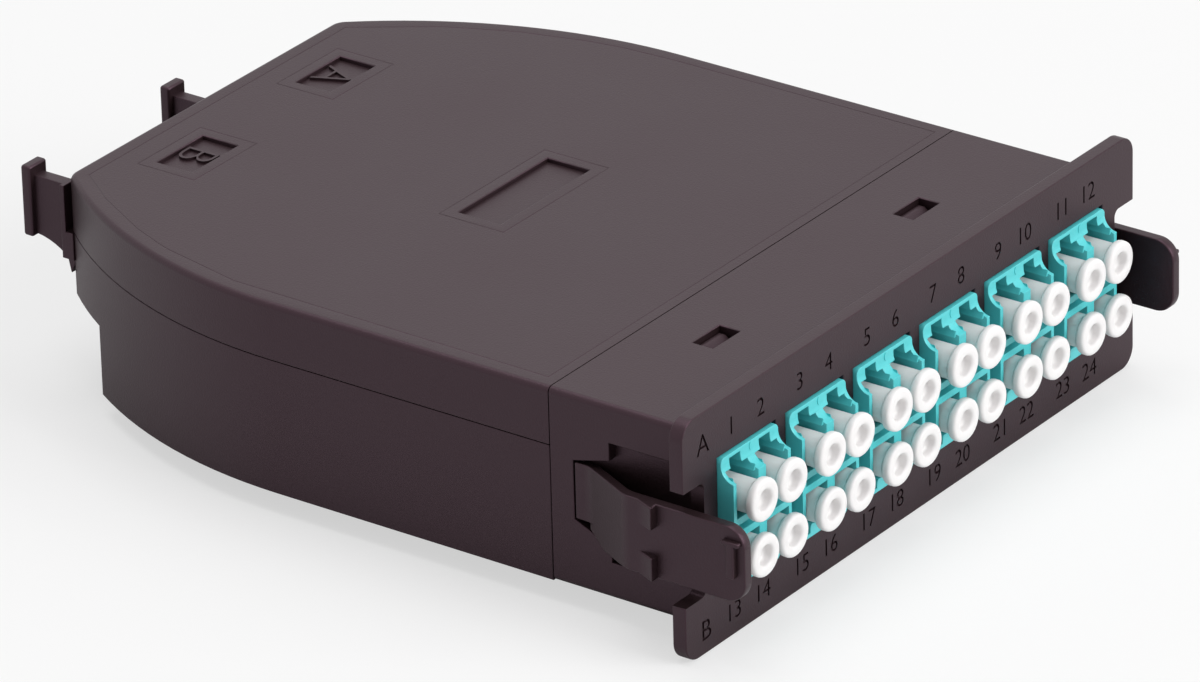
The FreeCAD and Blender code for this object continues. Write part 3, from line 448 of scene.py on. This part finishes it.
def mould_line(shape):
    """Sink a fine line into the cover's top, at one distance from every edge of it."""
    for width, depth in ((LINE_INSET, 0), (LINE_HALF, -LINE_DEPTH), (LINE_HALF, LINE_DEPTH)):
        top = [face for face in shape.faces
               if face.normal.z > cos(FLAT_ANGLE) and face.calc_area() > TOP_PANEL_AREA]
        bmesh.ops.inset_region(shape, faces=top, thickness=width, depth=depth,
                               use_boundary=True, use_even_offset=True)
        rim = list(dict.fromkeys(vert for face in top for vert in face.verts))
        bmesh.ops.remove_doubles(shape, verts=rim, dist=LINE_MERGE)


moulded(eased("rear_cover", COVER_EDGE, after=mould_line), "rear_cover", housing_black, "cassette")
facing_up_turned = Matrix(((-1, 0, 0), (0, -1, 0), (0, 0, 1)))
letters_y = cover_high.y - TRUNK_LETTER_FROM_REAR
letters_z = cover_high.z - TRUNK_RECESS_DEPTH
trunk_letters = [(letter, TRUNK_LETTER_HEIGHT, TRUNK_LETTER_RELIEF,
                  Vector((place, letters_y, letters_z)))
                 for letter, place in (("A", TRUNK_LETTER_FROM_MIDDLE),
                                       ("B", -TRUNK_LETTER_FROM_MIDDLE))]
show(marks_on(facing_up_turned, trunk_letters, TRUNK_LETTER_THINNING), "rear_cover_letters",
     housing_black, "cassette")

# Trunk caps. Black plugs pushed into the multi-fibre adapters from behind, each with a flat
# head and a bar to pull it by.
CAP_EDGE = 0.2 * MM
for letter in "ab":
    moulded(eased(f"mpo_dust_cap_{letter}", CAP_EDGE), f"mpo_dust_cap_{letter}", trunk_black,
            f"mpo_cap_{letter}")

# Table and light. A plain white table under two large soft lamps, in a white room that lights
# the cassette less strongly than it shows behind it.
TABLE_HALF = 2.0
TABLE_DROP = 0.2 * MM
TABLE_WHITE = (0.80, 0.80, 0.80, 1)
TABLE_SHINE_THROUGH = 0.6
TABLE_ROUGHNESS = 0.8
FRONT_LAMP = ((0.4, -1.9, 1.1), 1.3, 36)
TOP_LAMP = ((0.1, 0.2, 2.2), 1.6, 26)
ROOM_LIGHT = 0.40
shape = bmesh.new()
bmesh.ops.create_grid(shape, x_segments=1, y_segments=1, size=TABLE_HALF)
bmesh.ops.translate(shape, verts=shape.verts, vec=(0, 0, cad_box[0][2] - TABLE_DROP))
mesh = bpy.data.meshes.new("table")
shape.to_mesh(mesh)
shape.free()
table = bpy.data.objects.new("table", mesh)
bpy.context.scene.collection.objects.link(table)
paint = bpy.data.materials.new("white table")
paint.use_nodes = True
tree = paint.node_tree
cloth = tree.nodes["Principled BSDF"]
cloth.inputs["Base Color"].default_value = TABLE_WHITE
cloth.inputs["Roughness"].default_value = TABLE_ROUGHNESS
glow = node_between(tree, "ShaderNodeEmission", (0, -300))
table_ray = node_between(tree, "ShaderNodeLightPath", (-300, 300))
share = node_between(tree, "ShaderNodeMath", (0, 300), operation="MULTIPLY")
share.inputs[1].default_value = TABLE_SHINE_THROUGH
table_mix = node_between(tree, "ShaderNodeMixShader", (300, 0))
tree.links.new(table_ray.outputs["Is Camera Ray"], share.inputs[0])
tree.links.new(share.outputs[0], table_mix.inputs[0])
tree.links.new(cloth.outputs[0], table_mix.inputs[1])
tree.links.new(glow.outputs[0], table_mix.inputs[2])
tree.links.new(table_mix.outputs[0], tree.nodes["Material Output"].inputs["Surface"])
mesh.materials.append(paint)


def soft_lamp(name, place, size, power):
    """A square soft box that looks at the cassette."""
    light = bpy.data.lights.new(name, "AREA")
    light.size = size
    light.energy = power
    lamp = bpy.data.objects.new(name, light)
    lamp.location = place
    lamp.rotation_euler = Vector(place).to_track_quat("Z", "Y").to_euler()
    bpy.context.scene.collection.objects.link(lamp)


soft_lamp("front lamp", *FRONT_LAMP)
soft_lamp("top lamp", *TOP_LAMP)

room = bpy.data.worlds.new("white room")
bpy.context.scene.world = room
room.use_nodes = True
tree = room.node_tree
tree.nodes.clear()
out = node_between(tree, "ShaderNodeOutputWorld", (600, 0))
seen = node_between(tree, "ShaderNodeBackground", (200, 100))
cast = node_between(tree, "ShaderNodeBackground", (200, -100))
cast.inputs["Strength"].default_value = ROOM_LIGHT
pick = node_between(tree, "ShaderNodeMixShader", (400, 0))
ray = node_between(tree, "ShaderNodeLightPath", (-200, 300))
either = node_between(tree, "ShaderNodeMath", (0, 300), operation="MAXIMUM")
straight = node_between(tree, "ShaderNodeMath", (100, 300), operation="MAXIMUM")
seen.inputs["Color"].default_value = (1, 1, 1, 1)
tree.links.new(ray.outputs["Is Camera Ray"], either.inputs[0])
tree.links.new(ray.outputs["Is Glossy Ray"], either.inputs[1])
tree.links.new(either.outputs[0], straight.inputs[0])
tree.links.new(ray.outputs["Is Transmission Ray"], straight.inputs[1])
tree.links.new(straight.outputs[0], pick.inputs[0])
tree.links.new(cast.outputs[0], pick.inputs[1])
tree.links.new(seen.outputs[0], pick.inputs[2])
tree.links.new(pick.outputs[0], out.inputs[0])

# Camera. A long lens from high on the left, a little rolled, so that the plate, the cover and
# the left side all show.
CAMERA_PLACE = (-0.89005, -0.66551, 0.55430)
CAMERA_AZIMUTH = radians(-53.49)
CAMERA_ELEVATION = radians(26.15)
CAMERA_ROLL = radians(-1.55)
CAMERA_LENS = 289.03
CAMERA_SENSOR = 36
away = Vector((sin(CAMERA_AZIMUTH) * cos(CAMERA_ELEVATION),
               -cos(CAMERA_AZIMUTH) * cos(CAMERA_ELEVATION), sin(CAMERA_ELEVATION)))
level = (-away).cross(Vector((0, 0, 1))).normalized()
upright = level.cross(-away)
across = level * cos(CAMERA_ROLL) + upright * sin(CAMERA_ROLL)
up = upright * cos(CAMERA_ROLL) - level * sin(CAMERA_ROLL)
lens = bpy.data.cameras.new("camera")
lens.lens = CAMERA_LENS
lens.sensor_width = CAMERA_SENSOR
camera = bpy.data.objects.new("camera", lens)
facing = Matrix((across, up, away)).transposed().to_4x4()
camera.matrix_world = Matrix.Translation(CAMERA_PLACE) @ facing
bpy.context.scene.collection.objects.link(camera)
bpy.context.scene.camera = camera
bpy.context.scene.view_settings.view_transform = "Standard"
